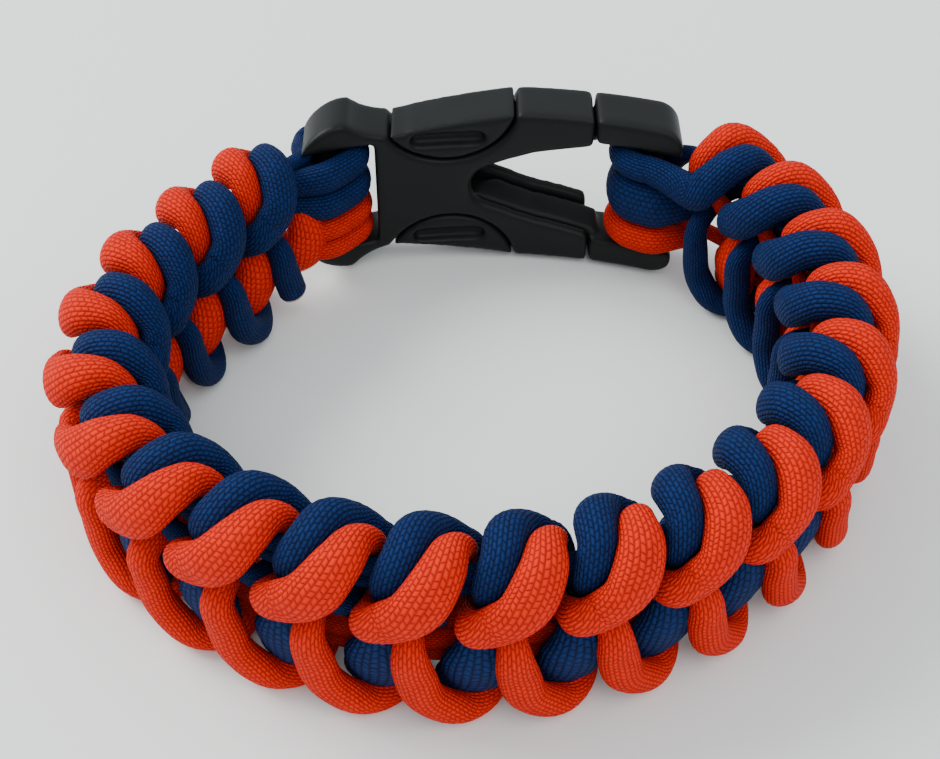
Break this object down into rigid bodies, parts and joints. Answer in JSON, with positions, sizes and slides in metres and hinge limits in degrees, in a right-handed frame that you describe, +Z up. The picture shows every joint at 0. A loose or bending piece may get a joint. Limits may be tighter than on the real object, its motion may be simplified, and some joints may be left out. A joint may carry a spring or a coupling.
{
  "type": "paracord bracelet",
  "caption": "Woven two-colour cord bracelet, a whole loop with a fastened contoured side-release buckle, resting on its edge.",
  "frame": {"origin": "under the middle of the bracelet's box, on the surface that its lower edge rests on", "axes": "+Z up along the wrist's axis, +X from the socket half of the buckle to the prong half, +Y from the front of the band to the buckle"},
  "size_m": [0.08, 0.0688, 0.0205],
  "materials": {
    "orange_cord": "braided nylon sheath",
    "navy_cord": "braided nylon sheath",
    "buckle_plastic": "satin moulded acetal"
  },
  "bodies": {
    "root": {"orange_strand": "orange_cord", "blue_strand": "navy_cord", "blue_core": "navy_cord", "orange_core": "orange_cord", "buckle_female": "buckle_plastic", "buckle_male": "buckle_plastic"}
  },
  "joints": []
}
